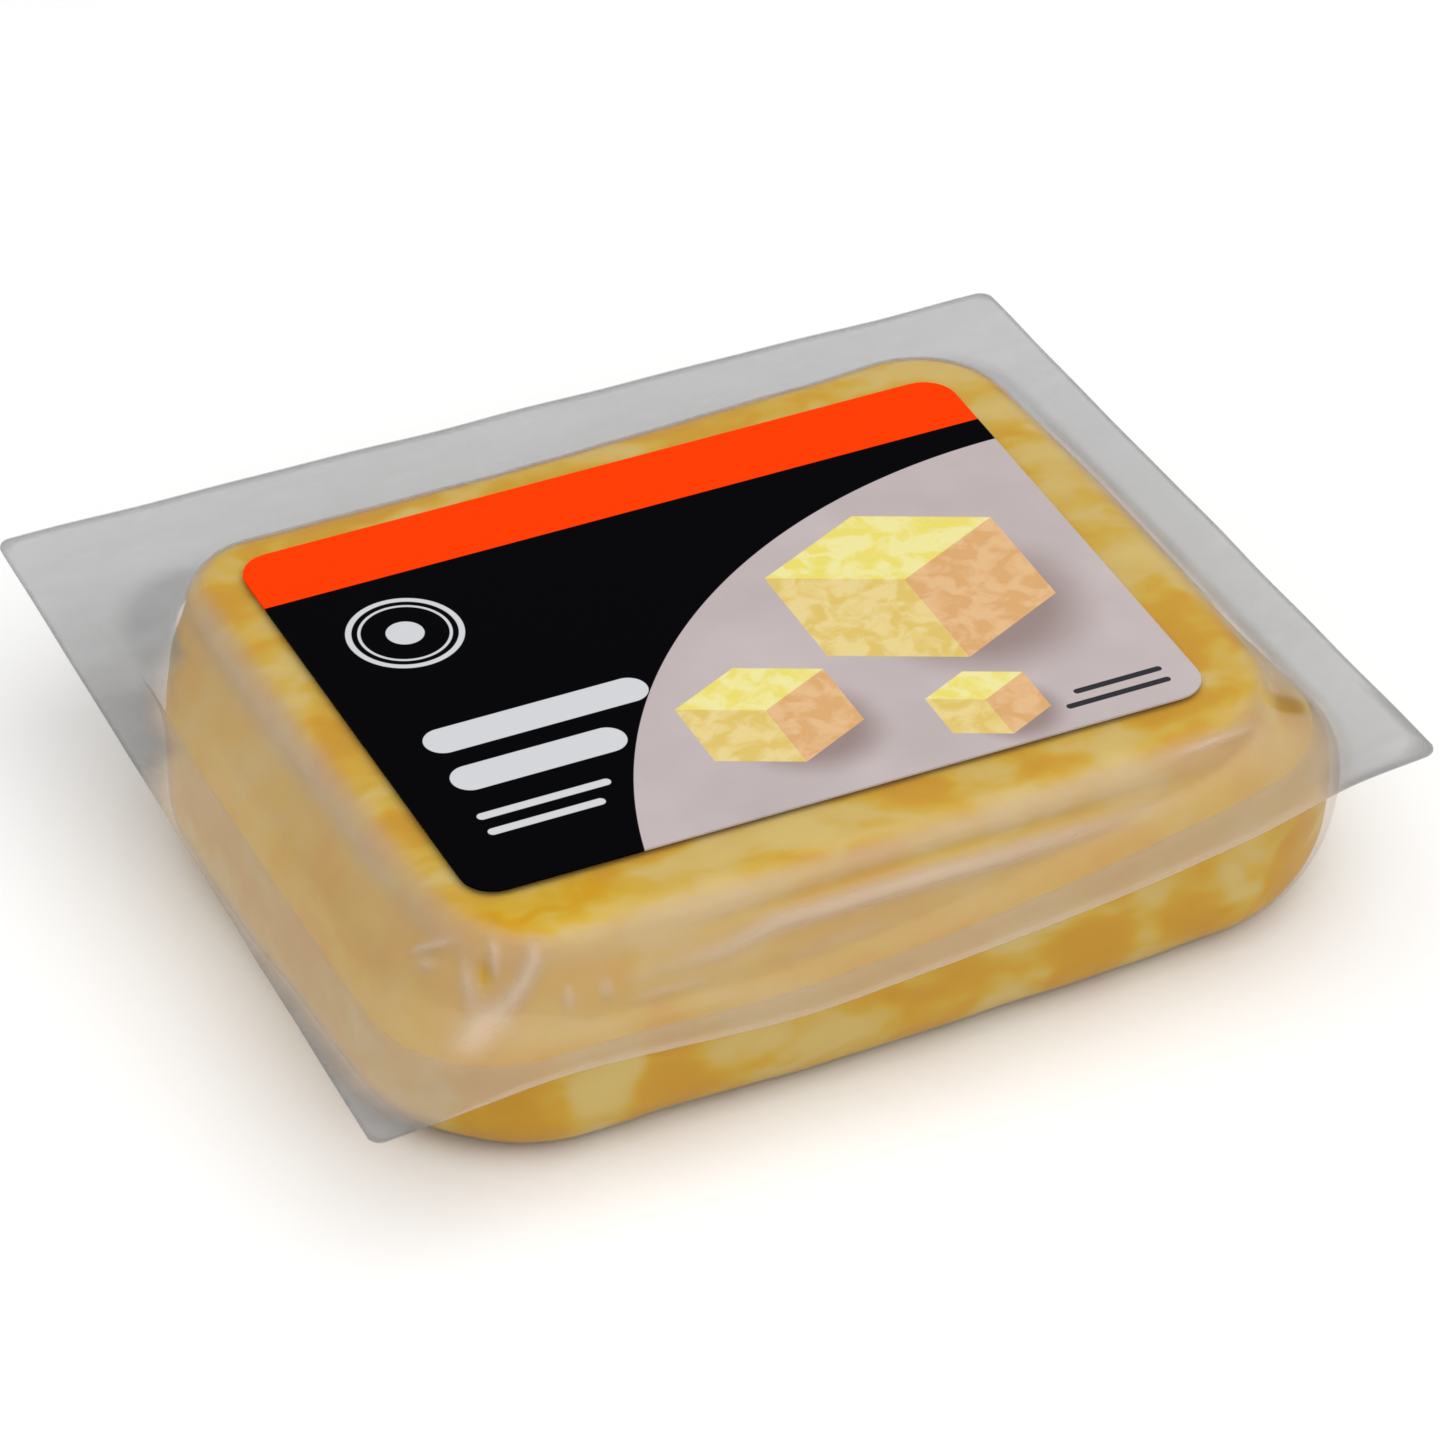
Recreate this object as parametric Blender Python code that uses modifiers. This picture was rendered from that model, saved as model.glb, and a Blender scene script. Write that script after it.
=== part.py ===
"""Block of marbled cheese, vacuum packed in clear film with a flat sealed edge and a label on top.

Run with: blender --background --python part.py
Lengths are in metres. The long side lies along X, the front faces -Y and +Z is up.
The origin is on the surface that the pack rests on, below the middle of the sealed edge.
"""
import math

import bmesh
import bpy
from mathutils import Matrix

MM = 0.001

# The packed block: rounded rectangles at rising heights, each with its own size, shift and corners.
BLOCK_HEIGHT = 30.5 * MM
BLOCK_CENTRE = (3.1 * MM, -3.8 * MM)
BLOCK_TURN = math.radians(2.0)
FOOT_RADIUS = 7.0 * MM
RIM_RADIUS = 4.5 * MM
FOOT_STEPS = 5
RIM_STEPS = 5
CORNER_STEPS = 8
SIDE_STEPS = 6
# How far the right, left, back and front sides bow outwards at their middle.
SIDE_BOWS = (1.2 * MM, 1.1 * MM, -1.2 * MM, 1.4 * MM)
# Each level: height, width, depth, shift in X and Y, and radii of the corners
# back right, back left, front left and front right.
FOOT_LEVEL = dict(z=FOOT_RADIUS, width=118.6 * MM, depth=86.0 * MM, shift=(0.3 * MM, -0.9 * MM),
                  radii=(19.0 * MM, 19.5 * MM, 19.0 * MM, 21.0 * MM))
SEAL_LEVEL = dict(z=17.4 * MM, width=116.8 * MM, depth=89.6 * MM, shift=(0.0, 0.0),
                  radii=(19.5 * MM, 20.0 * MM, 20.0 * MM, 21.0 * MM))
SHOULDER_LEVEL = dict(z=21.8 * MM, width=111.8 * MM, depth=88.8 * MM, shift=(-0.4 * MM, 0.2 * MM),
                      radii=(16.5 * MM, 15.5 * MM, 17.0 * MM, 18.0 * MM))
RIM_LEVEL = dict(z=BLOCK_HEIGHT - RIM_RADIUS, width=104.0 * MM, depth=86.4 * MM,
                 shift=(-0.9 * MM, 0.5 * MM), radii=(12.5 * MM, 10.5 * MM, 13.0 * MM, 14.0 * MM))

# The sealed edge: two webs of film welded into one sheet that stands out all round the block.
SEAL_WIDTH = 128.0 * MM
SEAL_DEPTH = 113.0 * MM
SEAL_THICKNESS = 0.5 * MM
SEAL_CORNER_RADIUS = 1.6 * MM
SEAL_HEIGHT = 22.8 * MM
SEAL_TILT = 3.05 * MM
SEAL_TWIST = 3.3 * MM
SEAL_FRONT_SAG = 4.0 * MM
# Waves that lift the sagging front edge: each one's height, then its middle and reach as shares of half the width.
SEAL_WAVES = ((2.7 * MM, -0.63, 0.29), (1.2 * MM, 0.82, 0.14))
SEAL_COLUMNS = 32
SEAL_ROWS = 28

# The label on the top face.
LABEL_WIDTH = 90.0 * MM
LABEL_DEPTH = 68.8 * MM
LABEL_THICKNESS = 0.25 * MM
LABEL_CORNER_RADIUS = 4.0 * MM
LABEL_CENTRE = (0.6 * MM, -3.5 * MM)
LABEL_TURN = math.radians(0.4)
CORNER_SEGMENTS = 6

# Clear distance between pieces that touch.
GAP = 0.3 * MM


def clear_scene():
    """Remove every object, so that the script gives the same result each time."""
    for old in list(bpy.data.objects):
        bpy.data.objects.remove(old, do_unlink=True)


def new_collection(name):
    """Add a collection to the scene."""
    collection = bpy.data.collections.new(name)
    bpy.context.scene.collection.children.link(collection)
    return collection


def make_material(name, colour, roughness, alpha=1.0):
    """Return a Principled material of one colour."""
    material = bpy.data.materials.new(name)
    material.use_nodes = True
    shader = material.node_tree.nodes["Principled BSDF"]
    shader.inputs["Base Color"].default_value = (*colour, 1.0)
    shader.inputs["Roughness"].default_value = roughness
    shader.inputs["Metallic"].default_value = 0.0
    shader.inputs["Alpha"].default_value = alpha
    material.diffuse_color = (*colour, alpha)
    return material


def make_object(name, bm, collection, material=None, smooth_angle=None):
    """Turn a bmesh into a named object, shaded smooth up to the given angle."""
    mesh = bpy.data.meshes.new(name)
    bmesh.ops.recalc_face_normals(bm, faces=bm.faces)
    bm.to_mesh(mesh)
    bm.free()
    if smooth_angle is not None:
        mesh.shade_smooth()
        mesh.set_sharp_from_angle(angle=smooth_angle)
    obj = bpy.data.objects.new(name, mesh)
    collection.objects.link(obj)
    if material is not None:
        mesh.materials.append(material)
    return obj


def level_outline(level, inset):
    """Points of one level's rounded rectangle, counter-clockwise, with its sides bowed."""
    half_x = level["width"] / 2 - inset
    half_y = level["depth"] / 2 - inset
    right, left, back, front = SIDE_BOWS
    quarter = math.pi / 2
    corner_signs = ((1, 1), (-1, 1), (-1, -1), (1, -1))
    arcs = []
    for index, (sign_x, sign_y) in enumerate(corner_signs):
        radius = level["radii"][index] - inset
        centre_x = sign_x * (half_x - radius)
        centre_y = sign_y * (half_y - radius)
        arcs.append([(centre_x + radius * math.cos(angle), centre_y + radius * math.sin(angle))
                     for angle in (quarter * (index + step / CORNER_STEPS)
                                   for step in range(CORNER_STEPS + 1))])
    points = []
    for index, arc in enumerate(arcs):
        points.extend(arc)
        start, end = arc[-1], arcs[(index + 1) % 4][0]
        for step in range(1, SIDE_STEPS):
            part = step / SIDE_STEPS
            points.append((start[0] + (end[0] - start[0]) * part, start[1] + (end[1] - start[1]) * part))
    outline = []
    for x, y in points:
        bow_x = (right if x > 0 else -left) * (1 - (y / half_y) ** 2)
        bow_y = (back if y > 0 else -front) * (1 - (x / half_x) ** 2)
        outline.append((x + bow_x + level["shift"][0], y + bow_y + level["shift"][1]))
    return outline


def block_sections():
    """Heights and outlines of the block from its foot to its top face."""
    sections = []
    for step in range(FOOT_STEPS + 1):
        angle = math.pi / 2 * step / FOOT_STEPS
        inset = FOOT_RADIUS * (1 - math.sin(angle))
        sections.append((FOOT_RADIUS * (1 - math.cos(angle)), FOOT_LEVEL, inset))
    sections.append((SEAL_LEVEL["z"], SEAL_LEVEL, 0.0))
    sections.append((SHOULDER_LEVEL["z"], SHOULDER_LEVEL, 0.0))
    for step in range(RIM_STEPS + 1):
        angle = math.pi / 2 * step / RIM_STEPS
        inset = RIM_RADIUS * (1 - math.cos(angle))
        sections.append((RIM_LEVEL["z"] + RIM_RADIUS * math.sin(angle), RIM_LEVEL, inset))
    return sections


def block_mesh(grow=0.0):
    """Loft the block through its sections, grown outwards all round by the given distance."""
    bm = bmesh.new()
    loops = []
    for height, level, inset in block_sections():
        ring = [bm.verts.new((x, y, height)) for x, y in level_outline(level, inset - grow)]
        loops.append([bm.edges.new((ring[i - 1], ring[i])) for i in range(len(ring))])
    for lower, upper in zip(loops, loops[1:]):
        bmesh.ops.bridge_loops(bm, edges=lower + upper)
    bmesh.ops.holes_fill(bm, edges=loops[0] + loops[-1], sides=0)
    place = Matrix.Translation((*BLOCK_CENTRE, 0.0)) @ Matrix.Rotation(BLOCK_TURN, 4, "Z")
    bmesh.ops.transform(bm, matrix=place, verts=bm.verts)
    return bm


def make_block(collection):
    """The cheese block in its tight film."""
    material = make_material("marbled_cheese", (0.61, 0.36, 0.06), 0.4)
    return make_object("cheese_block", block_mesh(), collection, material, math.radians(40))


def seal_height(x, y):
    """Height of the sealed edge: a tilted, twisted sheet whose front edge sags and waves."""
    across = x / (SEAL_WIDTH / 2)
    along = y / (SEAL_DEPTH / 2)
    sag = SEAL_FRONT_SAG * (1 - across ** 2)
    wave = sum(rise * math.exp(-((across - middle) / reach) ** 2) for rise, middle, reach in SEAL_WAVES)
    front = ((1 - along) / 2) ** 2
    return SEAL_HEIGHT + SEAL_TILT * across - SEAL_TWIST * across * along + (wave - sag) * front


def round_sheet_corners(bm, radius):
    """Round the corner vertices of an open sheet."""
    corners = [vertex for vertex in bm.verts if len(vertex.link_edges) == 2]
    bmesh.ops.bevel(bm, geom=corners, offset=radius, offset_type="OFFSET", segments=CORNER_SEGMENTS,
                    profile=0.5, affect="VERTICES")


def add_solidify(obj, thickness, offset):
    """Give an open sheet its thickness."""
    solidify = obj.modifiers.new("thickness", "SOLIDIFY")
    solidify.thickness = thickness
    solidify.offset = offset
    solidify.use_even_offset = True


def make_seal(collection, cutters):
    """The sealed edge of the film, open where the block passes through it."""
    bm = bmesh.new()
    bmesh.ops.create_grid(bm, x_segments=SEAL_COLUMNS, y_segments=SEAL_ROWS, size=0.5)
    bmesh.ops.scale(bm, vec=(SEAL_WIDTH, SEAL_DEPTH, 1.0), verts=bm.verts)
    round_sheet_corners(bm, SEAL_CORNER_RADIUS)
    for vertex in bm.verts:
        vertex.co.z = seal_height(vertex.co.x, vertex.co.y)
    material = make_material("clear_film", (0.5, 0.5, 0.5), 0.25, 0.5)
    seal = make_object("film_flange", bm, collection, material, math.radians(40))
    add_solidify(seal, SEAL_THICKNESS, 0.0)

    cutter = make_object("block_clearance", block_mesh(GAP), cutters)
    cutter.hide_render = True
    cutter.display_type = "WIRE"
    opening = seal.modifiers.new("opening", "BOOLEAN")
    opening.operation = "DIFFERENCE"
    opening.solver = "EXACT"
    opening.object = cutter
    return seal


def make_label(collection):
    """The label, a thin plate with rounded corners just above the top face."""
    bm = bmesh.new()
    bmesh.ops.create_grid(bm, x_segments=1, y_segments=1, size=0.5)
    bmesh.ops.scale(bm, vec=(LABEL_WIDTH, LABEL_DEPTH, 1.0), verts=bm.verts)
    round_sheet_corners(bm, LABEL_CORNER_RADIUS)
    material = make_material("printed_label", (0.02, 0.02, 0.022), 0.35)
    label = make_object("label", bm, collection, material)
    add_solidify(label, LABEL_THICKNESS, 1.0)
    label.location = (*LABEL_CENTRE, BLOCK_HEIGHT + GAP)
    label.rotation_euler = (0.0, 0.0, LABEL_TURN)
    return label


def main():
    """Build the pack."""
    clear_scene()
    parts = new_collection("packed_cheese_block")
    cutters = new_collection("cutters")
    make_block(parts)
    make_seal(parts, cutters)
    make_label(parts)


main()
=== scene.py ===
"""A vacuum-packed block of marbled cheese: the cheese, two webs of clear film, the label and the stage."""

import math

import bmesh
import bpy
import numpy as np
from bpy.props import FloatProperty, FloatVectorProperty, PointerProperty
from bpy.types import Operator, Panel, PropertyGroup
from mathutils import Matrix, Vector, noise


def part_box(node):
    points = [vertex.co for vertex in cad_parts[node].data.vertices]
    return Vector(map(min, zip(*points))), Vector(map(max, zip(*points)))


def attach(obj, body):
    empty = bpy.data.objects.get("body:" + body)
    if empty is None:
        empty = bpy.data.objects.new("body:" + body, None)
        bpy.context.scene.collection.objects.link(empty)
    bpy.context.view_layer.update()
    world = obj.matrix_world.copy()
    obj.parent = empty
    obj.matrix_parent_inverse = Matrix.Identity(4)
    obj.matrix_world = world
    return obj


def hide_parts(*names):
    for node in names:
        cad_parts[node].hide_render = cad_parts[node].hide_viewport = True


bl_info = {
    "name": "Packed cheese block",
    "version": (1, 0, 0),
    "blender": (4, 5, 0),
    "location": "View3D > Sidebar > Cheese Pack",
    "description": "Builds a block of marbled cheese in tight clear film with a sealed edge and a label",
    "category": "Add Mesh",
}

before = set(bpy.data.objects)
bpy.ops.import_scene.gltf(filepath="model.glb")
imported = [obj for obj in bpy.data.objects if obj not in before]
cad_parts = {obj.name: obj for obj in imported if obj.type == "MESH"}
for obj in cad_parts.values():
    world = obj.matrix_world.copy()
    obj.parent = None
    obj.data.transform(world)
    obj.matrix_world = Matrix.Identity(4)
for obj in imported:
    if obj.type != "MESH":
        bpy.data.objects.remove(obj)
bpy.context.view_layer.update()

MM = 0.001

# The block, as the solids have it. Each level: height, width, depth, shift in X and Y, and the radii
# of the corners back right, back left, front left and front right.
LEVELS = (
    (7.0 * MM, 118.6 * MM, 86.0 * MM, (0.3 * MM, -0.9 * MM), (19.0 * MM, 19.5 * MM, 19.0 * MM, 21.0 * MM)),
    (17.4 * MM, 116.8 * MM, 89.6 * MM, (0.0, 0.0), (19.5 * MM, 20.0 * MM, 20.0 * MM, 21.0 * MM)),
    (21.8 * MM, 111.8 * MM, 88.8 * MM, (-0.4 * MM, 0.2 * MM), (16.5 * MM, 15.5 * MM, 17.0 * MM, 18.0 * MM)),
    (26.0 * MM, 104.0 * MM, 86.4 * MM, (-0.9 * MM, 0.5 * MM), (12.5 * MM, 10.5 * MM, 13.0 * MM, 14.0 * MM)),
)
FOOT_RADIUS = 7.0 * MM
RIM_RADIUS = 4.5 * MM
TOP_HEIGHT = LEVELS[-1][0] + RIM_RADIUS
BLOCK_CENTRE = (3.1 * MM, -3.8 * MM)
BLOCK_MIDDLE = (*BLOCK_CENTRE, 0.0)
BLOCK_TURN = math.radians(2.0)
# How far the right, left, back and front sides bow outwards at their middle.
SIDE_BOWS = (1.2 * MM, 1.1 * MM, -1.2 * MM, 1.4 * MM)

# The sealed edge, a tilted and twisted sheet whose front edge sags.
SEAL_WIDTH = 128.0 * MM
SEAL_DEPTH = 113.0 * MM
SEAL_CORNER_RADIUS = 1.6 * MM
SEAL_HEIGHT = 22.8 * MM
SEAL_TILT = 3.05 * MM
SEAL_TWIST = 3.3 * MM
SEAL_FRONT_SAG = 4.0 * MM
# Waves that lift the sagging front edge: each one's height, then its middle and reach as shares of half the width.
SEAL_WAVES = ((2.7 * MM, -0.63, 0.29), (1.2 * MM, 0.82, 0.14))

# How much a fully milky fold adds to the opacity of each face, as the painted highlight on its ridge.
FOLD_PAINTED_LIGHT_HAZE = 0.42
# Share of a fold's height that the cheese below it fills.
FOLD_FILL = 0.5
# The film is warm where it covers the cheese, seen from the front left, a painted glow of the cheese's light in the
# film. The block's outlines at its levels, each a little lower and moved so far in X and Y for each metre that the film
# is higher, give that area. Then come the width of its border and the border's extra haze.
WARM_DROP = 1.0 * MM
WARM_SLOPE = (0.565, 1.232)
WARM_RADIUS = 20.0 * MM
WARM_FADE = (3.0 * MM, -2.2 * MM)
WARM_BORDER_HAZE = 0.12
# Rows of the sides over which the film turns warm where the cheese isn't behind it, and its haze before that.
WARM_SIDE_ROWS = (6, 14)
FREE_SIDE_HAZE = 0.16
# The tray's side stands off the block's plain form at the right front corner: how far, where in X and Y, its reach,
# the heights over which it rises and falls, the share that the cheese fills, and the film's haze there.
TRAY_FLARE = 2.6 * MM
TRAY_FLARE_PLACE = (60.5 * MM, -35.0 * MM)
TRAY_FLARE_REACH = 14.0 * MM
TRAY_FLARE_RISE = (-1.0 * MM, 14.0 * MM)
TRAY_FLARE_FALL = (25.0 * MM, 17.0 * MM)
TRAY_FLARE_FILL = 0.6
TRAY_FLARE_HAZE = 0.16
# Rows over which the haze of each web changes at the turn between sealed edge and side.
UPPER_HAZE_TURN = (-12, -4)
LOWER_HAZE_TURN = (-1, 7)
# Share of the outline's haze in the outermost rows, at the sides and at the front.
# Along the front the outline's milky haze is a painted highlight of the film's cut edge.
OUTLINE_SHARES = ((1.0, 1.0), (0.5, 1.0), (0.0, 0.8), (0.0, 0.35))
OUTLINE_FRONT = (40.0 * MM, 46.5 * MM)
OUTLINE_FRONT_START = (-56.0 * MM, -48.0 * MM)

# Columns of points round the block: at each corner, then along the side that follows it.
CORNER_COLUMNS = (30, 30, 66, 44)
SIDE_COLUMNS = (56, 46, 92, 50)
PROFILE_ROWS = 112
FLANGE_ROWS = 20
WALL_ROWS = 44
TOP_ROWS = 9
BOTTOM_ROWS = 8
CHEESE_ROW_STEP = 2
SMOOTHING_ROWS = 2.6
UPPER_SOFTNESS = 6.0
LOWER_SOFTNESS = 7.5
CORNER_SOFTNESS = 6.0

# Folds and creases of the upper web in millimetres: path, width, height and share of painted light. A positive share
# paints a highlight on the fold as milky film; a negative one clears the film, which darkens a crease as painted shade.
# A crease has a negative height, and the cheese follows it.
FOLDS = (
    # the groove below the front rim and the ridge below it
    (((-30.0, -48.0, 27.8), (-22.4, -48.4, 26.8), (-5.7, -48.0, 27.2), (3.2, -47.8, 27.2), (23.8, -47.0, 26.6),
      (39.0, -46.0, 26.8)), 0.9, -0.5, -0.35),
    (((-30.0, -49.4, 23.4), (-19.5, -49.3, 23.8), (-13.3, -48.7, 25.0), (5.9, -48.2, 25.0), (15.0, -48.0, 24.6),
      (31.6, -47.1, 24.4), (40.0, -46.4, 24.0)), 1.1, 0.6, 1.0),
    (((-31.5, -50.1, 21.3), (-21.5, -50.1, 21.0)), 0.6, 0.3, 0.4),
    (((-14.0, -49.9, 20.6), (2.0, -49.5, 21.6)), 0.8, 0.2, 0.2),
    # right end of the front rim
    (((37.0, -44.8, 29.2), (43.3, -44.2, 29.2), (48.8, -42.7, 28.2)), 0.55, 0.35, 0.6),
    (((48.6, -43.2, 27.6), (47.1, -44.4, 26.0), (46.8, -45.4, 24.0)), 0.5, 0.4, 0.5),
    # gathers at the front left corner
    (((-50.8, -35.6, 24.0), (-49.1, -37.8, 25.7), (-47.4, -40.4, 27.9)), 0.55, 0.5, 0.6),
    (((-50.6, -37.4, 23.7), (-49.3, -39.5, 24.5)), 0.7, 0.4, 0.5),
    (((-47.0, -41.6, 27.0), (-47.3, -43.3, 24.0), (-47.2, -45.0, 21.0)), 0.8, 0.5, 0.6),
    (((-44.7, -43.0, 29.0), (-44.5, -44.3, 27.7), (-44.6, -45.4, 24.6)), 0.5, 0.5, 0.6),
    (((-45.9, -43.6, 26.6), (-45.9, -44.8, 23.8)), 0.5, -0.35, -0.4),
    (((-40.6, -45.8, 29.5), (-41.1, -46.9, 27.2), (-42.3, -47.0, 25.0), (-43.8, -46.9, 23.1),
      (-45.6, -46.4, 21.0)), 1.0, 0.6, 1.0),
    (((-44.0, -46.9, 22.8), (-46.2, -46.2, 20.2), (-48.7, -47.2, 18.9), (-51.0, -48.6, 18.6)), 2.1, 0.6, 1.0),
    (((-38.0, -48.8, 24.6), (-37.9, -49.6, 21.6)), 0.65, 0.4, 0.5),
    (((-33.8, -49.1, 24.6), (-33.4, -50.0, 21.8)), 0.6, 0.4, 0.6),
    # where the film is clear, at the right front corner and at the left end of the front rim, and milky, on the left,
    # where the milk is a painted highlight along the rim
    (((52.6, -41.5, 28.2), (55.0, -38.5, 27.6)), 2.8, 0.0, -1.0),
    (((-44.0, -42.5, 30.2), (-30.0, -44.6, 30.2)), 3.0, 0.0, -0.5),
    (((-50.8, 32.0, 27.4), (-50.3, 0.0, 27.4), (-49.6, -32.0, 27.4)), 1.9, 0.0, 0.3),
)
# Curds that show as patches of their own, in millimetres: centre, reach along X, Y and Z, and tone,
# from -1 for amber to 1 for pale.
CURDS = (
    ((-40.0, -43.5, 30.0), (6.5, 3.2, 3.0), -1.0), ((-11.3, -45.2, 30.0), (4.2, 1.7, 2.0), -0.9),
    ((7.9, -39.0, 30.0), (3.2, 1.5, 2.0), -0.8), ((1.8, -46.6, 30.0), (5.0, 1.4, 2.0), -0.5),
    ((25.0, -42.6, 30.0), (4.4, 2.6, 3.0), -1.0), ((31.5, -37.9, 30.0), (9.0, 1.5, 2.0), -0.7),
    ((50.4, -18.0, 29.0), (3.2, 7.0, 3.0), -0.8), ((46.4, -37.6, 30.0), (4.2, 1.9, 3.0), -0.7),
    ((56.4, -35.2, 24.0), (3.4, 4.0, 3.6), -1.0), ((-47.3, 25.0, 30.0), (2.2, 7.0, 3.0), -0.5),
    ((-45.6, -1.0, 30.0), (2.0, 5.5, 3.0), -1.0), ((-45.5, -20.8, 30.0), (1.6, 5.5, 3.0), -0.7),
    ((-29.0, 35.3, 30.0), (15.0, 2.2, 3.0), -0.4), ((-21.0, -47.8, 29.0), (8.0, 2.2, 2.0), 0.8),
    ((15.5, -43.2, 30.0), (4.5, 4.0, 3.0), 0.7), ((49.8, -27.0, 30.0), (2.5, 3.0, 3.0), 0.7),
    ((39.5, -40.8, 30.0), (6.0, 1.6, 3.0), 0.7), ((46.5, 2.0, 30.0), (3.0, 5.0, 3.0), 0.4),
    ((-47.1, -45.7, 5.0), (4.6, 5.0, 7.0), -1.0), ((-41.2, -48.9, 9.0), (3.4, 5.0, 6.0), -0.7),
    ((-34.0, -50.0, 8.0), (3.6, 5.0, 8.0), 0.9), ((-25.7, -50.0, 10.0), (4.6, 5.0, 8.0), -1.1),
    ((-13.0, -49.8, 10.0), (7.5, 5.0, 8.0), 1.0), ((6.2, -49.2, 9.0), (6.0, 5.0, 8.0), -1.1),
    ((17.4, -48.7, 8.0), (4.4, 5.0, 8.0), 0.9), ((26.2, -48.3, 9.0), (4.2, 5.0, 8.0), -1.0),
    ((33.6, -48.0, 8.0), (2.6, 5.0, 8.0), 0.6), ((39.4, -47.5, 8.0), (3.6, 5.0, 8.0), -0.8),
    ((46.0, -46.6, 9.0), (2.6, 5.0, 8.0), 0.5), ((52.5, -44.0, 9.6), (3.6, 5.0, 7.0), -0.9),
)
CURD_TONE = 0.13
CURD_WARP = 2.2 * MM
CURD_WARP_SIZE = 7.0 * MM
CURD_SEED = 1


class CheesePackSizes(PropertyGroup):
    """Sizes of the pieces that a user would change."""

    web_thickness: FloatProperty(name="Film thickness", description="Thickness of each web of film",
                                 default=0.12 * MM, min=0.02 * MM, unit="LENGTH", precision=5)
    cheese_gap: FloatProperty(name="Cheese gap", description="How far the cheese lies inside the film",
                              default=0.3 * MM, min=0.0, unit="LENGTH", precision=5)
    top_lift: FloatProperty(name="Top lift", description="How far the film rises to the underside of the label",
                            default=0.2 * MM, min=0.0, unit="LENGTH", precision=5)
    lump_height: FloatProperty(name="Lump height", description="Unevenness of the cheese",
                               default=0.35 * MM, min=0.0, unit="LENGTH", precision=5)
    lump_size: FloatProperty(name="Lump size", description="Distance between lumps of the cheese",
                             default=17.0 * MM, min=1.0 * MM, unit="LENGTH")
    ripple_height: FloatProperty(name="Ripple height", description="Waves of the sealed edge",
                                 default=0.08 * MM, min=0.0, unit="LENGTH", precision=5)
    fold_scale: FloatProperty(name="Fold height", description="Height of all folds against the drawn ones",
                              default=1.0, min=0.0, max=2.0)
    curd_size: FloatProperty(name="Curd size", description="Size of the amber and cream curds",
                             default=8.0 * MM, min=1.0 * MM, unit="LENGTH")


class CheesePackColours(PropertyGroup):
    """Colours and clearness of the pieces."""

    amber: FloatVectorProperty(name="Amber curd", description="The deeper curds of the cheese",
                               subtype="COLOR", size=3, default=(0.53, 0.285, 0.008))
    yellow: FloatVectorProperty(name="Yellow curd", description="The middle tone of the cheese",
                                subtype="COLOR", size=3, default=(0.54, 0.345, 0.035))
    cream: FloatVectorProperty(name="Cream curd", description="The pale curds of the cheese",
                               subtype="COLOR", size=3, default=(0.55, 0.385, 0.105))
    film_grey: FloatVectorProperty(name="Film grey", description="The film where it stands free of the cheese",
                                   subtype="COLOR", size=3, default=(0.17, 0.17, 0.173))
    # Colour of the painted light in the film: the glow of the cheese's light in it and the highlights on its folds, rim
    # and front edge.
    film_painted_light: FloatVectorProperty(name="Film milk", description="The film where it is drawn on to the cheese",
                                   subtype="COLOR", size=3, default=(0.67, 0.52, 0.37))
    flange_haze: FloatProperty(name="Sealed edge haze", description="Opacity of each face of the sealed edge",
                               default=0.18, min=0.0, max=1.0)
    flange_clear: FloatProperty(name="Clear edge haze", description="Opacity of the sealed edge before the cheese",
                                default=0.135, min=0.0, max=1.0)
    # Along the front the outline's haze is a painted highlight of the film's cut edge.
    outline_haze_and_highlight: FloatProperty(name="Outline haze", description="Opacity of each face along the cut outline",
                                default=0.3, min=0.0, max=1.0)
    wall_haze: FloatProperty(name="Side haze", description="Opacity of each face of the film on the sides",
                             default=0.155, min=0.0, max=1.0)
    # The extra haze round the rim is a painted highlight along its rounding.
    rim_highlight_haze: FloatProperty(name="Rim haze", description="Opacity of each face of the film round the rim",
                            default=0.24, min=0.0, max=1.0)
    top_haze: FloatProperty(name="Top haze", description="Opacity of each face of the film on the top",
                            default=0.03, min=0.0, max=1.0)
    tray_haze: FloatProperty(name="Tray haze", description="Opacity of each face of the lower web",
                             default=0.02, min=0.0, max=1.0)
    band: FloatVectorProperty(name="Label band", description="The band at the back of the label",
                              subtype="COLOR", size=3, default=(0.93, 0.042, 0.0005))
    field: FloatVectorProperty(name="Label field", description="The dark field of the label",
                               subtype="COLOR", size=3, default=(0.0012, 0.0012, 0.0018))
    panel: FloatVectorProperty(name="Label panel", description="The pale panel of the label",
                               subtype="COLOR", size=3, default=(0.5, 0.43, 0.43))
    mark: FloatVectorProperty(name="Label marks", description="The pale bars and ring of the label",
                              subtype="COLOR", size=3, default=(0.56, 0.57, 0.59))


class CheesePackStage(PropertyGroup):
    """The view, the floor and the light."""

    azimuth: FloatProperty(name="Azimuth", description="Where the camera stands round the pack",
                           default=math.radians(-24.66), subtype="ANGLE")
    elevation: FloatProperty(name="Elevation", description="How high the camera stands",
                             default=math.radians(36.42), subtype="ANGLE")
    distance: FloatProperty(name="Distance", description="Camera to the origin along the line of sight",
                            default=920.6 * MM, unit="LENGTH")
    aside: FloatProperty(name="Aside", description="Camera's move to its right", default=2.27 * MM, unit="LENGTH")
    raised: FloatProperty(name="Raised", description="Camera's move upwards", default=12.54 * MM, unit="LENGTH")
    lens: FloatProperty(name="Lens", description="Focal length in millimetres on a 36 mm sensor", default=199.7)
    floor: FloatVectorProperty(name="Floor", description="The pale floor", subtype="COLOR", size=3,
                               default=(0.92, 0.92, 0.92))
    key_power: FloatProperty(name="Key light", description="Power of the large light above", default=20.5)
    surround_low: FloatProperty(name="Low surround", description="Strength of the light from the horizon", default=0.95)
    surround_high: FloatProperty(name="High surround", description="Strength of the light from above", default=0.45)


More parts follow.
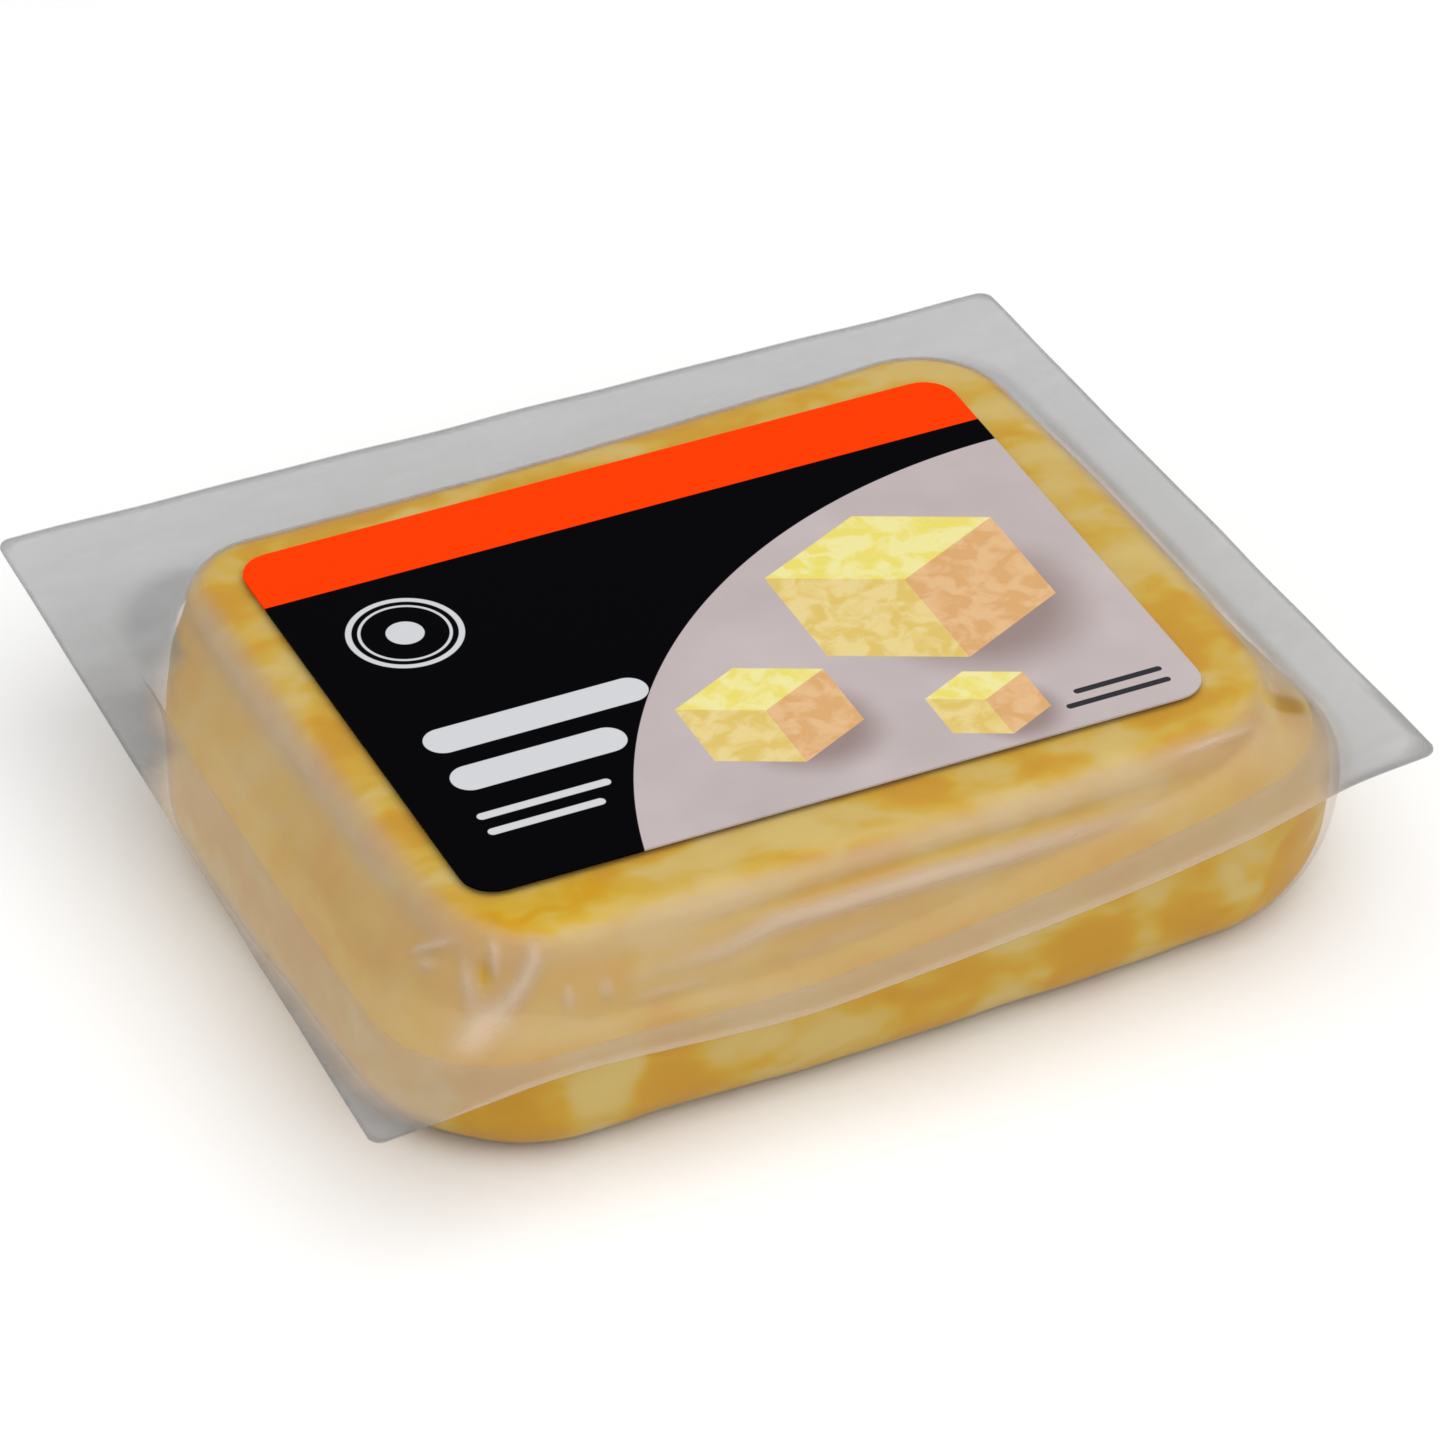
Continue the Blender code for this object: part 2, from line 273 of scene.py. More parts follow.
def deselect_all():
    """Leave nothing selected, so that an operator only acts on the piece at hand."""
    for obj in bpy.context.selected_objects:
        obj.select_set(False)


def make_active(obj):
    """Select one object alone and make it active."""
    deselect_all()
    obj.select_set(True)
    bpy.context.view_layer.objects.active = obj


def rounded_outline(width, depth, radii, bows=(0.0, 0.0, 0.0, 0.0)):
    """Points of a rounded rectangle, counter-clockwise, whose right, left, back and front sides bow out."""
    half_x = width / 2
    half_y = depth / 2
    right, left, back, front = bows
    arcs = []
    for index, (sign_x, sign_y) in enumerate(((1, 1), (-1, 1), (-1, -1), (1, -1))):
        angles = math.pi / 2 * (index + np.linspace(0.0, 1.0, CORNER_COLUMNS[index] + 1))
        arcs.append(np.column_stack((sign_x * (half_x - radii[index]) + radii[index] * np.cos(angles),
                                     sign_y * (half_y - radii[index]) + radii[index] * np.sin(angles))))
    points = []
    for index, arc in enumerate(arcs):
        shares = np.linspace(0.0, 1.0, SIDE_COLUMNS[index] + 1)[1:-1, None]
        points.append(arc)
        points.append(arc[-1] + (arcs[(index + 1) % 4][0] - arc[-1]) * shares)
    x, y = np.concatenate(points).T
    bow_x = np.where(x > 0, right, -left) * (1 - (y / half_y) ** 2)
    bow_y = np.where(y > 0, back, -front) * (1 - (x / half_x) ** 2)
    return np.column_stack((x + bow_x, y + bow_y))


def block_ring(level, inset, height):
    """One ring of points on the block, in its place."""
    width, depth, shift, radii = level[1:]
    outline = rounded_outline(width - 2 * inset, depth - 2 * inset, [radius - inset for radius in radii], SIDE_BOWS)
    outline += shift
    cos, sin = math.cos(BLOCK_TURN), math.sin(BLOCK_TURN)
    x = cos * outline[:, 0] - sin * outline[:, 1] + BLOCK_CENTRE[0]
    y = sin * outline[:, 0] + cos * outline[:, 1] + BLOCK_CENTRE[1]
    return np.column_stack((x, y, np.full(len(outline), height)))


def smoothed(rows, reach):
    """Rows of points smoothed from row to row, with both ends left in place."""
    span = int(math.ceil(reach * 3))
    weights = np.exp(-0.5 * (np.arange(-span, span + 1) / reach) ** 2)
    weights /= weights.sum()
    padded = np.pad(rows, ((span, span), (0, 0), (0, 0)), mode="reflect", reflect_type="odd")
    return sum(weight * padded[step:step + len(rows)] for step, weight in enumerate(weights))


def block_surface():
    """Rows of points over the block, from the edge of its underside to the edge of its top face."""
    rows = []
    for angle in np.linspace(0.0, math.pi / 2, 13):
        rows.append(block_ring(LEVELS[0], FOOT_RADIUS * (1 - math.sin(angle)), FOOT_RADIUS * (1 - math.cos(angle))))
    for lower, upper in zip(LEVELS, LEVELS[1:]):
        start = block_ring(lower, 0.0, lower[0])
        end = block_ring(upper, 0.0, upper[0])
        rows.extend(start + (end - start) * share for share in np.linspace(0.0, 1.0, 9)[1:])
    for angle in np.linspace(0.0, math.pi / 2, 11)[1:]:
        height = LEVELS[-1][0] + RIM_RADIUS * math.sin(angle)
        rows.append(block_ring(LEVELS[-1], RIM_RADIUS * (1 - math.cos(angle)), height))
    rows = np.array(rows)
    steps = np.linalg.norm(np.diff(rows, axis=0), axis=2).mean(axis=1)
    travel = np.concatenate(([0.0], np.cumsum(steps)))
    even = np.linspace(0.0, travel[-1], PROFILE_ROWS)
    index = np.clip(np.searchsorted(travel, even, side="right") - 1, 0, len(rows) - 2)
    share = ((even - travel[index]) / (travel[index + 1] - travel[index]))[:, None, None]
    return smoothed(rows[index] * (1 - share) + rows[index + 1] * share, SMOOTHING_ROWS)


def seal_height(x, y):
    """Height of the middle of the sealed edge."""
    across = x / (SEAL_WIDTH / 2)
    along = y / (SEAL_DEPTH / 2)
    sag = SEAL_FRONT_SAG * (1 - across ** 2)
    wave = sum(rise * np.exp(-((across - middle) / reach) ** 2) for rise, middle, reach in SEAL_WAVES)
    front = ((1 - along) / 2) ** 2
    return SEAL_HEIGHT + SEAL_TILT * across - SEAL_TWIST * across * along + (wave - sag) * front


def rows_at(rows, places):
    """Points on the surface at one fractional row number for each column."""
    places = np.clip(places, 0.0, len(rows) - 1.0)
    lower = np.minimum(places.astype(int), len(rows) - 2)
    share = (places - lower)[:, None]
    columns = np.arange(rows.shape[1])
    return rows[lower, columns] * (1 - share) + rows[lower + 1, columns] * share


def joint_places(rows):
    """The fractional row at which each column of the block meets the sealed edge."""
    above = rows[:, :, 2] - seal_height(rows[:, :, 0], rows[:, :, 1])
    first = np.argmax(above > 0, axis=0)
    columns = np.arange(rows.shape[1])
    low, high = above[first - 1, columns], above[first, columns]
    return first - 1 + low / (low - high)


def flange_rows(joint):
    """Rows over the sealed edge, from its outer edge to where the film turns on to the block."""
    outer = rounded_outline(SEAL_WIDTH, SEAL_DEPTH, (SEAL_CORNER_RADIUS,) * 4)
    rows = []
    for share in (0.0, 0.03, *np.linspace(0.06, 1.0, FLANGE_ROWS - 2)):
        flat = outer + (joint[:, :2] - outer) * share
        rows.append(np.column_stack((flat, seal_height(flat[:, 0], flat[:, 1]))))
    return rows


def film_warmth(rows):
    """1 where the film covers the cheese, seen from the front left, and 0 out on the free film; it places the painted
    glow of the cheese's light in the film.
    """
    cos, sin = math.cos(BLOCK_TURN), math.sin(BLOCK_TURN)
    warmth = ease(np.arange(len(rows)) - FLANGE_ROWS, *WARM_SIDE_ROWS)[:, None]
    for level, width, depth, shift, _ in LEVELS:
        height = rows[:, :, 2] - (level - WARM_DROP)
        x = rows[:, :, 0] + WARM_SLOPE[0] * height - BLOCK_CENTRE[0]
        y = rows[:, :, 1] + WARM_SLOPE[1] * height - BLOCK_CENTRE[1]
        across = np.abs(cos * x + sin * y - shift[0]) - (width / 2 - WARM_RADIUS)
        along = np.abs(cos * y - sin * x - shift[1]) - (depth / 2 - WARM_RADIUS)
        outside = np.hypot(np.maximum(across, 0), np.maximum(along, 0)) + np.minimum(np.maximum(across, along), 0)
        warmth = np.maximum(warmth, ease(outside - WARM_RADIUS, *WARM_FADE))
    return warmth


def flange_haze(rows, warmth, colours):
    """Opacity of the sealed edge: even over cheese and over free film, more between them and along its outline, where
    along the front it paints the highlight of the cut edge.
    """
    haze = colours.flange_haze + (colours.flange_clear - colours.flange_haze) * warmth
    haze = haze + 4 * WARM_BORDER_HAZE * warmth * (1 - warmth)
    outline = np.zeros(rows.shape[:2])
    front = ease(-rows[0, :, 1], *OUTLINE_FRONT) * ease(rows[0, :, 0], *OUTLINE_FRONT_START)
    for row, share in enumerate(OUTLINE_SHARES):
        outline[row] = share[0] * (1 - front) + share[1] * front
    return haze + (colours.outline_haze_and_highlight - haze) * outline


def tray_flare(rows, surface):
    """How far the tray's side stands off the block's plain form at each point, as a share and as a move."""
    side = surface[np.argmax(surface[:, 0, 2] > LEVELS[1][0])]
    away = np.linalg.norm(side[:, :2] - TRAY_FLARE_PLACE, axis=1) / TRAY_FLARE_REACH
    height = rows[:, :, 2]
    share = ease(height, *TRAY_FLARE_RISE) * ease(height, *TRAY_FLARE_FALL) * np.exp(-away ** 2)
    outwards = side - BLOCK_MIDDLE
    outwards[:, 2] = 0.0
    outwards /= np.linalg.norm(outwards, axis=1, keepdims=True)
    return share, TRAY_FLARE * share[:, :, None] * outwards


def inner_rows(ring, last_share, count):
    """Rows that run on from a ring towards its middle."""
    middle = ring.mean(axis=0)
    return [middle + (ring - middle) * share for share in np.linspace(1.0, last_share, count + 1)[1:]]


def corner_weights():
    """1 in the middle of each corner's columns, 0 on the sides."""
    weights = []
    for corner, side in zip(CORNER_COLUMNS, SIDE_COLUMNS):
        weights.extend(np.sin(np.linspace(0.0, math.pi, corner + 1)) ** 0.7)
        weights.extend([0.0] * (side - 1))
    return np.array(weights)[None, :, None]


def rounded_joint(rows, softness):
    """The same rows with a soft turn where the sealed edge meets the block, softer still at the corners."""
    away = (np.arange(len(rows)) - (FLANGE_ROWS - 1))[:, None, None]
    for reach, weight in ((softness, 1.0), (CORNER_SOFTNESS, corner_weights())):
        share = weight * np.exp(-(away / (1.8 * reach)) ** 2)
        rows = rows * (1 - share) + smoothed(rows, reach) * share
    return rows


def normals_of(rows):
    """Unit normals of a closed tube of points, on the side that the columns run counter-clockwise."""
    along = np.roll(rows, -1, axis=1) - np.roll(rows, 1, axis=1)
    across = np.gradient(rows, axis=0)
    normals = np.cross(along, across)
    return normals / np.maximum(np.linalg.norm(normals, axis=2, keepdims=True), 1e-12)


def ease(values, start, end):
    """0 before the start, 1 after the end and a smooth rise between."""
    share = np.clip((values - start) / (end - start), 0.0, 1.0)
    return share * share * (3.0 - 2.0 * share)


def lumps(rows, size, height):
    """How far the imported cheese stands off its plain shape: soft lumps, with only dips on the flat top."""
    points = rows.reshape(-1, 3) / size
    values = [noise.noise(Vector(point)) + 0.4 * noise.noise(Vector(point * 2.7)) for point in points]
    field = height * np.array(values).reshape(rows.shape[:2])
    flat = ease(rows[:, :, 2], TOP_HEIGHT - 2.0 * MM, TOP_HEIGHT)
    return field * (1.0 - flat) - 0.6 * np.abs(field) * flat


def fold_field(rows):
    """How far folds push the film out, and how much painted light they add at each point: highlights on ridges, and
    cleared film that paints creases darker.
    """
    points = rows.reshape(-1, 3) / MM
    push = np.zeros(len(points))
    painted_light = np.zeros(len(points))
    for path, width, height, painted_light_share in FOLDS:
        path = np.array(path)
        lengths = np.linalg.norm(np.diff(path, axis=0), axis=1)
        ends = np.concatenate(([0.0], np.cumsum(lengths)))
        nearest = np.full(len(points), np.inf)
        travel = np.zeros(len(points))
        for start, end, length, before in zip(path, path[1:], lengths, ends):
            share = np.clip((points - start) @ (end - start) / length ** 2, 0.0, 1.0)
            distance = np.linalg.norm(points - start - share[:, None] * (end - start), axis=1)
            travel = np.where(distance < nearest, (before + share * length) / ends[-1], travel)
            nearest = np.minimum(distance, nearest)
        shape = np.exp(-(nearest / width) ** 2) * np.sin(np.pi * np.clip(travel, 0.04, 0.96)) ** 0.8
        push += height * MM * shape
        painted_light += painted_light_share * shape
    return push.reshape(rows.shape[:2]), np.clip(painted_light, -1.0, 1.0).reshape(rows.shape[:2])


def curd_field(rows):
    """Tone of the curds that show as patches of their own, with uneven borders."""
    noise.seed_set(CURD_SEED)
    points = rows.reshape(-1, 3)
    warp = [noise.noise_vector(Vector(point / CURD_WARP_SIZE)) for point in points]
    points = (points + CURD_WARP * np.array(warp)) / MM
    tone = np.zeros(len(points))
    for centre, reach, strength in CURDS:
        away = np.linalg.norm((points - centre) / reach, axis=1)
        tone += strength * ease(away, 1.6, 0.4)
    return np.clip(tone, -1.2, 1.2).reshape(rows.shape[:2])


def ripples(rows, height):
    """Waves of the sealed edge, which grow towards its outer edge."""
    x, y = rows[:, :, 0] / MM, rows[:, :, 1] / MM
    wave = np.sin(x / 4.7 + 0.8) * np.cos(y / 7.9) + 0.6 * np.sin((x + y) / 3.1 + 1.7) + 0.5 * np.sin((x - 2 * y) / 8.3)
    reach = np.clip((FLANGE_ROWS - 1 - np.arange(len(rows))) / (FLANGE_ROWS - 1), 0.0, 1.0)[:, None]
    return height * wave * (0.15 + 0.85 * reach) * (reach > 0)


def sheet_over(name, rows, values, closed_ends):
    """A grid primitive laid over rows of points, welded into a tube, with the asked ends closed."""
    count, columns = rows.shape[:2]
    deselect_all()
    bpy.ops.mesh.primitive_grid_add(x_subdivisions=columns, y_subdivisions=count - 1, size=1.0)
    piece = bpy.context.object
    piece.name = piece.data.name = name
    mesh = piece.data
    flat = np.empty(len(mesh.vertices) * 3)
    mesh.vertices.foreach_get("co", flat)
    flat = flat.reshape(-1, 3)
    column = np.rint((flat[:, 0] + 0.5) * columns).astype(int) % columns
    row = np.rint((flat[:, 1] + 0.5) * (count - 1)).astype(int)
    mesh.vertices.foreach_set("co", rows[row, column].ravel())
    for key, field in values.items():
        mesh.attributes.new(key, "FLOAT", "POINT").data.foreach_set("value", field[row, column].astype(np.float32))
    mark = mesh.attributes.new("row", "INT", "POINT")
    mark.data.foreach_set("value", row.astype(np.int32))
    mesh.update()
    bpy.ops.object.mode_set(mode="EDIT")
    bpy.ops.mesh.select_all(action="SELECT")
    bpy.ops.mesh.remove_doubles(threshold=0.0005 * MM)
    for end in closed_ends:
        edit = bmesh.from_edit_mesh(mesh)
        layer = edit.verts.layers.int["row"]
        bpy.ops.mesh.select_all(action="DESELECT")
        for edge in edit.edges:
            edge.select = edge.is_boundary and all(vertex[layer] == end for vertex in edge.verts)
        bmesh.update_edit_mesh(mesh)
        bpy.ops.mesh.edge_face_add()
    bpy.ops.object.mode_set(mode="OBJECT")
    mesh.attributes.remove(mesh.attributes["row"])
    for layer in list(mesh.uv_layers):
        mesh.uv_layers.remove(layer)
    return piece


def thicken(piece, thickness):
    """Give a web its thickness, inwards from its outer face."""
    make_active(piece)
    solidify = piece.modifiers.new("thickness", "SOLIDIFY")
    solidify.thickness = thickness
    solidify.offset = -1.0
    solidify.use_even_offset = True
    bpy.ops.object.modifier_apply(modifier=solidify.name)
    bpy.ops.object.shade_smooth_by_angle(angle=math.radians(60))


class Nodes:
    """Short ways to add and join the nodes of one material."""

    def __init__(self, name):
        self.material = bpy.data.materials.new(name)
        self.material.use_nodes = True
        self.tree = self.material.node_tree
        self.shader = self.tree.nodes["Principled BSDF"]
        self.coords = self.add("ShaderNodeTexCoord").outputs["Object"]

    def set(self, socket, value):
        """Join a node's output to a socket, or set the socket to a plain value."""
        if isinstance(value, bpy.types.NodeSocket):
            self.tree.links.new(value, socket)
        elif isinstance(value, (tuple, list)) and len(value) == 3 and socket.type == "RGBA":
            socket.default_value = (*value, 1.0)
        else:
            socket.default_value = value

    def add(self, kind, **settings):
        """Add a node of the given kind."""
        node = self.tree.nodes.new(kind)
        for key, value in settings.items():
            setattr(node, key, value)
        return node

    def math(self, operation, first, second=0.0, third=0.0, clamp=False):
        """One Math node."""
        node = self.add("ShaderNodeMath", operation=operation, use_clamp=clamp)
        for socket, value in zip(node.inputs, (first, second, third)):
            self.set(socket, value)
        return node.outputs[0]

    def vector(self, operation, first, second=(0.0, 0.0, 0.0)):
        """One Vector Math node."""
        node = self.add("ShaderNodeVectorMath", operation=operation)
        self.set(node.inputs[0], first)
        self.set(node.inputs[1], second)
        return node.outputs["Value" if operation in ("DOT_PRODUCT", "LENGTH", "DISTANCE") else "Vector"]

    def noise(self, coords, scale, detail=2.0, roughness=0.5, distortion=0.0, colour=False):
        """One Noise Texture node."""
        node = self.add("ShaderNodeTexNoise")
        self.set(node.inputs["Vector"], coords)
        node.inputs["Scale"].default_value = scale
        node.inputs["Detail"].default_value = detail
        node.inputs["Roughness"].default_value = roughness
        node.inputs["Distortion"].default_value = distortion
        return node.outputs["Color" if colour else "Fac"]

    def mix(self, share, first, second):
        """One Mix node for colours."""
        node = self.add("ShaderNodeMix", data_type="RGBA")
        self.set(node.inputs["Factor"], share)
        first_colour, second_colour = (socket for socket in node.inputs if socket.type == "RGBA")
        self.set(first_colour, first)
        self.set(second_colour, second)
        return next(socket for socket in node.outputs if socket.type == "RGBA")

    def steps(self, value, start, end):
        """A smooth step from 0 at the start to 1 at the end."""
        node = self.add("ShaderNodeMapRange", interpolation_type="SMOOTHSTEP")
        for key, part in (("Value", value), ("From Min", start), ("From Max", end)):
            self.set(node.inputs[key], part)
        return node.outputs[0]

    def ramp(self, share, stops):
        """One Color Ramp node with (place, colour) stops."""
        node = self.add("ShaderNodeValToRGB")
        elements = node.color_ramp.elements
        while len(elements) < len(stops):
            elements.new(0.5)
        for element, (place, colour) in zip(elements, stops):
            element.position = place
            element.color = (*colour, 1.0)
        self.set(node.inputs[0], share)
        return node.outputs["Color"]

    def bump(self, height, strength, distance):
        """A Bump node joined to the shader's normal."""
        node = self.add("ShaderNodeBump")
        node.inputs["Strength"].default_value = strength
        node.inputs["Distance"].default_value = distance
        self.set(node.inputs["Height"], height)
        self.set(self.shader.inputs["Normal"], node.outputs["Normal"])

    def stretched(self, location=(0.0, 0.0, 0.0), rotation=(0.0, 0.0, 0.0), scale=(1.0, 1.0, 1.0)):
        """Object coordinates seen from another place, turn and scale."""
        node = self.add("ShaderNodeMapping", vector_type="TEXTURE")
        self.set(node.inputs["Vector"], self.coords)
        node.inputs["Location"].default_value = location
        node.inputs["Rotation"].default_value = rotation
        node.inputs["Scale"].default_value = scale
        return node.outputs[0]


def marbled_cheese_material(colours, curd_size):
    """Amber and cream curds pressed together, with soft borders."""
    nodes = Nodes("marbled_cheese")
    scale = 1.0 / curd_size
    shift = nodes.vector("SUBTRACT", nodes.noise(nodes.coords, 0.7 * scale, 2.0, 0.5, 0.0, True), (0.5, 0.5, 0.5))
    coords = nodes.vector("ADD", nodes.stretched(scale=(1.5, 1.0, 0.8)),
                          nodes.vector("MULTIPLY", shift, (1.4 * curd_size,) * 3))
    patches = nodes.noise(coords, 0.8 * scale, 2.5, 0.55)
    height = nodes.add("ShaderNodeSeparateXYZ")
    nodes.set(height.inputs[0], nodes.coords)
    contrast = nodes.math("MULTIPLY", nodes.steps(height.outputs[2], 12.0 * MM, 17.0 * MM),
                          nodes.steps(height.outputs[2], 29.0 * MM, 25.0 * MM))
    contrast = nodes.math("MULTIPLY_ADD", contrast, -0.6, 1.0)
    share = nodes.math("MULTIPLY_ADD", nodes.math("SUBTRACT", patches, 0.5), contrast, 0.5)
    curd = nodes.add("ShaderNodeAttribute", attribute_type="GEOMETRY", attribute_name="curd").outputs["Fac"]
    share = nodes.math("MULTIPLY_ADD", curd, CURD_TONE, share)
    amber, yellow, cream = tuple(colours.amber), tuple(colours.yellow), tuple(colours.cream)
    deep = tuple(part * shade for part, shade in zip(amber, (0.96, 0.9, 0.8)))
    pale = tuple(part * shade for part, shade in zip(cream, (1.03, 1.08, 1.2)))
    colour = nodes.ramp(share, ((0.35, deep), (0.43, amber), (0.51, yellow), (0.59, cream), (0.7, pale)))
    nodes.set(nodes.shader.inputs["Base Color"], colour)
    nodes.shader.inputs["Roughness"].default_value = 0.45
    nodes.shader.inputs["Specular IOR Level"].default_value = 0.15
    nodes.bump(nodes.noise(nodes.coords, 3 * scale, 3.0), 0.1, 0.3 * MM)
    return nodes.material


def clear_film_material(name, colours, edge_gain):
    """Clear film whose haze and painted light come from the piece's own attributes; the painted light tints it with the
    glow of the cheese and with highlights.
    """
    nodes = Nodes(name)
    haze = nodes.add("ShaderNodeAttribute", attribute_type="GEOMETRY", attribute_name="haze").outputs["Fac"]
    painted_light = nodes.add("ShaderNodeAttribute", attribute_type="GEOMETRY", attribute_name="painted_light").outputs["Fac"]
    streaks = nodes.noise(nodes.stretched(rotation=(0.0, 0.0, math.radians(4)), scale=(4.0, 1.0, 1.0)), 170.0, 2.0, 0.55)
    clouds = nodes.noise(nodes.coords, 60.0, 2.0, 0.55)
    mottle = nodes.math("MULTIPLY_ADD", streaks, 0.5, nodes.math("MULTIPLY", clouds, 0.5))
    facing = nodes.add("ShaderNodeLayerWeight")
    facing.inputs["Blend"].default_value = 0.25
    edge = nodes.math("MULTIPLY", nodes.math("POWER", facing.outputs["Facing"], 2.0), edge_gain)
    cover = nodes.math("MULTIPLY_ADD", mottle, 0.9, 0.55)
    nodes.set(nodes.shader.inputs["Alpha"], nodes.math("MULTIPLY_ADD", haze, cover, edge, clamp=True))
    grey = tuple(colours.film_grey)
    grey = nodes.ramp(mottle, ((0.44, tuple(0.85 * part for part in grey)), (0.6, tuple(1.6 * part for part in grey))))
    # The milky colour is painted light: the cheese's glow in the film and the highlights on folds, rim and front edge.
    nodes.set(nodes.shader.inputs["Base Color"], nodes.mix(painted_light, grey, tuple(colours.film_painted_light)))
    nodes.shader.inputs["Roughness"].default_value = 0.25
    nodes.shader.inputs["IOR"].default_value = 1.5
    nodes.bump(clouds, 0.3, 0.3 * MM)
    return nodes.material


class Print:
    """Shapes printed on the label, in millimetres from its middle."""

    def __init__(self, nodes, coords):
        self.nodes = nodes
        self.coords = coords
        parts = nodes.add("ShaderNodeSeparateXYZ")
        nodes.set(parts.inputs[0], coords)
        self.x, self.y = parts.outputs[0], parts.outputs[1]
        self.edge = 12.0

    def side(self, normal, offset):
        """1 on the side of a line that the normal points to, 0 on the other."""
        reach = self.nodes.vector("DOT_PRODUCT", self.coords, (normal[0], normal[1], 0.0))
        return self.nodes.math("MULTIPLY_ADD", reach, self.edge, 0.5 - offset * self.edge, clamp=True)

    def polygon(self, points):
        """1 inside a convex polygon whose points run counter-clockwise."""
        mask = None
        for start, end in zip(points, (*points[1:], points[0])):
            direction = Vector(end) - Vector(start)
            normal = Vector((-direction.y, direction.x)).normalized()
            edge = self.side(normal, normal.dot(Vector(start)))
            mask = edge if mask is None else self.nodes.math("MINIMUM", mask, edge)
        return mask

    def distance(self, centre):
        """Distance from a point."""
        return self.nodes.vector("DISTANCE", self.coords, (centre[0], centre[1], 0.0))

    def disc(self, centre, radius):
        """1 inside a circle."""
        return self.nodes.math("MULTIPLY_ADD", self.distance(centre), -self.edge, 0.5 + radius * self.edge, clamp=True)

    def glow(self, centre, radius, softness):
        """1 inside a circle, with a soft border."""
        return self.nodes.steps(self.distance(centre), radius + softness, radius)

    def ring(self, centre, radius, width):
        """1 on a circle's line."""
        away = self.nodes.math("ABSOLUTE", self.nodes.math("SUBTRACT", self.distance(centre), radius))
        return self.nodes.math("MULTIPLY_ADD", away, -self.edge, 0.5 + width / 2 * self.edge, clamp=True)

    def bar(self, centre, length, height):
        """1 inside a bar with round ends."""
        aside = self.nodes.vector("ABSOLUTE", self.nodes.vector("SUBTRACT", self.coords, (centre[0], centre[1], 0.0)))
        core = self.nodes.vector("SUBTRACT", aside, ((length - height) / 2, 0.0, 0.0))
        outside = self.nodes.vector("MAXIMUM", core, (0.0, 0.0, 0.0))
        away = self.nodes.vector("LENGTH", outside)
        return self.nodes.math("MULTIPLY_ADD", away, -self.edge, 0.5 + height / 2 * self.edge, clamp=True)

    def any_of(self, *masks):
        """1 where any of the masks is."""
        joined = masks[0]
        for mask in masks[1:]:
            joined = self.nodes.math("MAXIMUM", joined, mask)
        return joined


def cube_faces(centre, edge):
    """Top, left and right face of a drawn cube, each as points that run counter-clockwise."""
    x, y = centre
    wide, low = edge * 0.87, edge * 0.42
    middle, left, right, far = (x, y), (x - wide, y + low), (x + wide, y + low), (x, y + 2 * low)
    top = (middle, right, far, left)
    left_side = (middle, left, (x - wide, y + low - edge), (x, y - edge))
    right_side = (middle, (x, y - edge), (x + wide, y + low - edge), right)
    return top, left_side, right_side


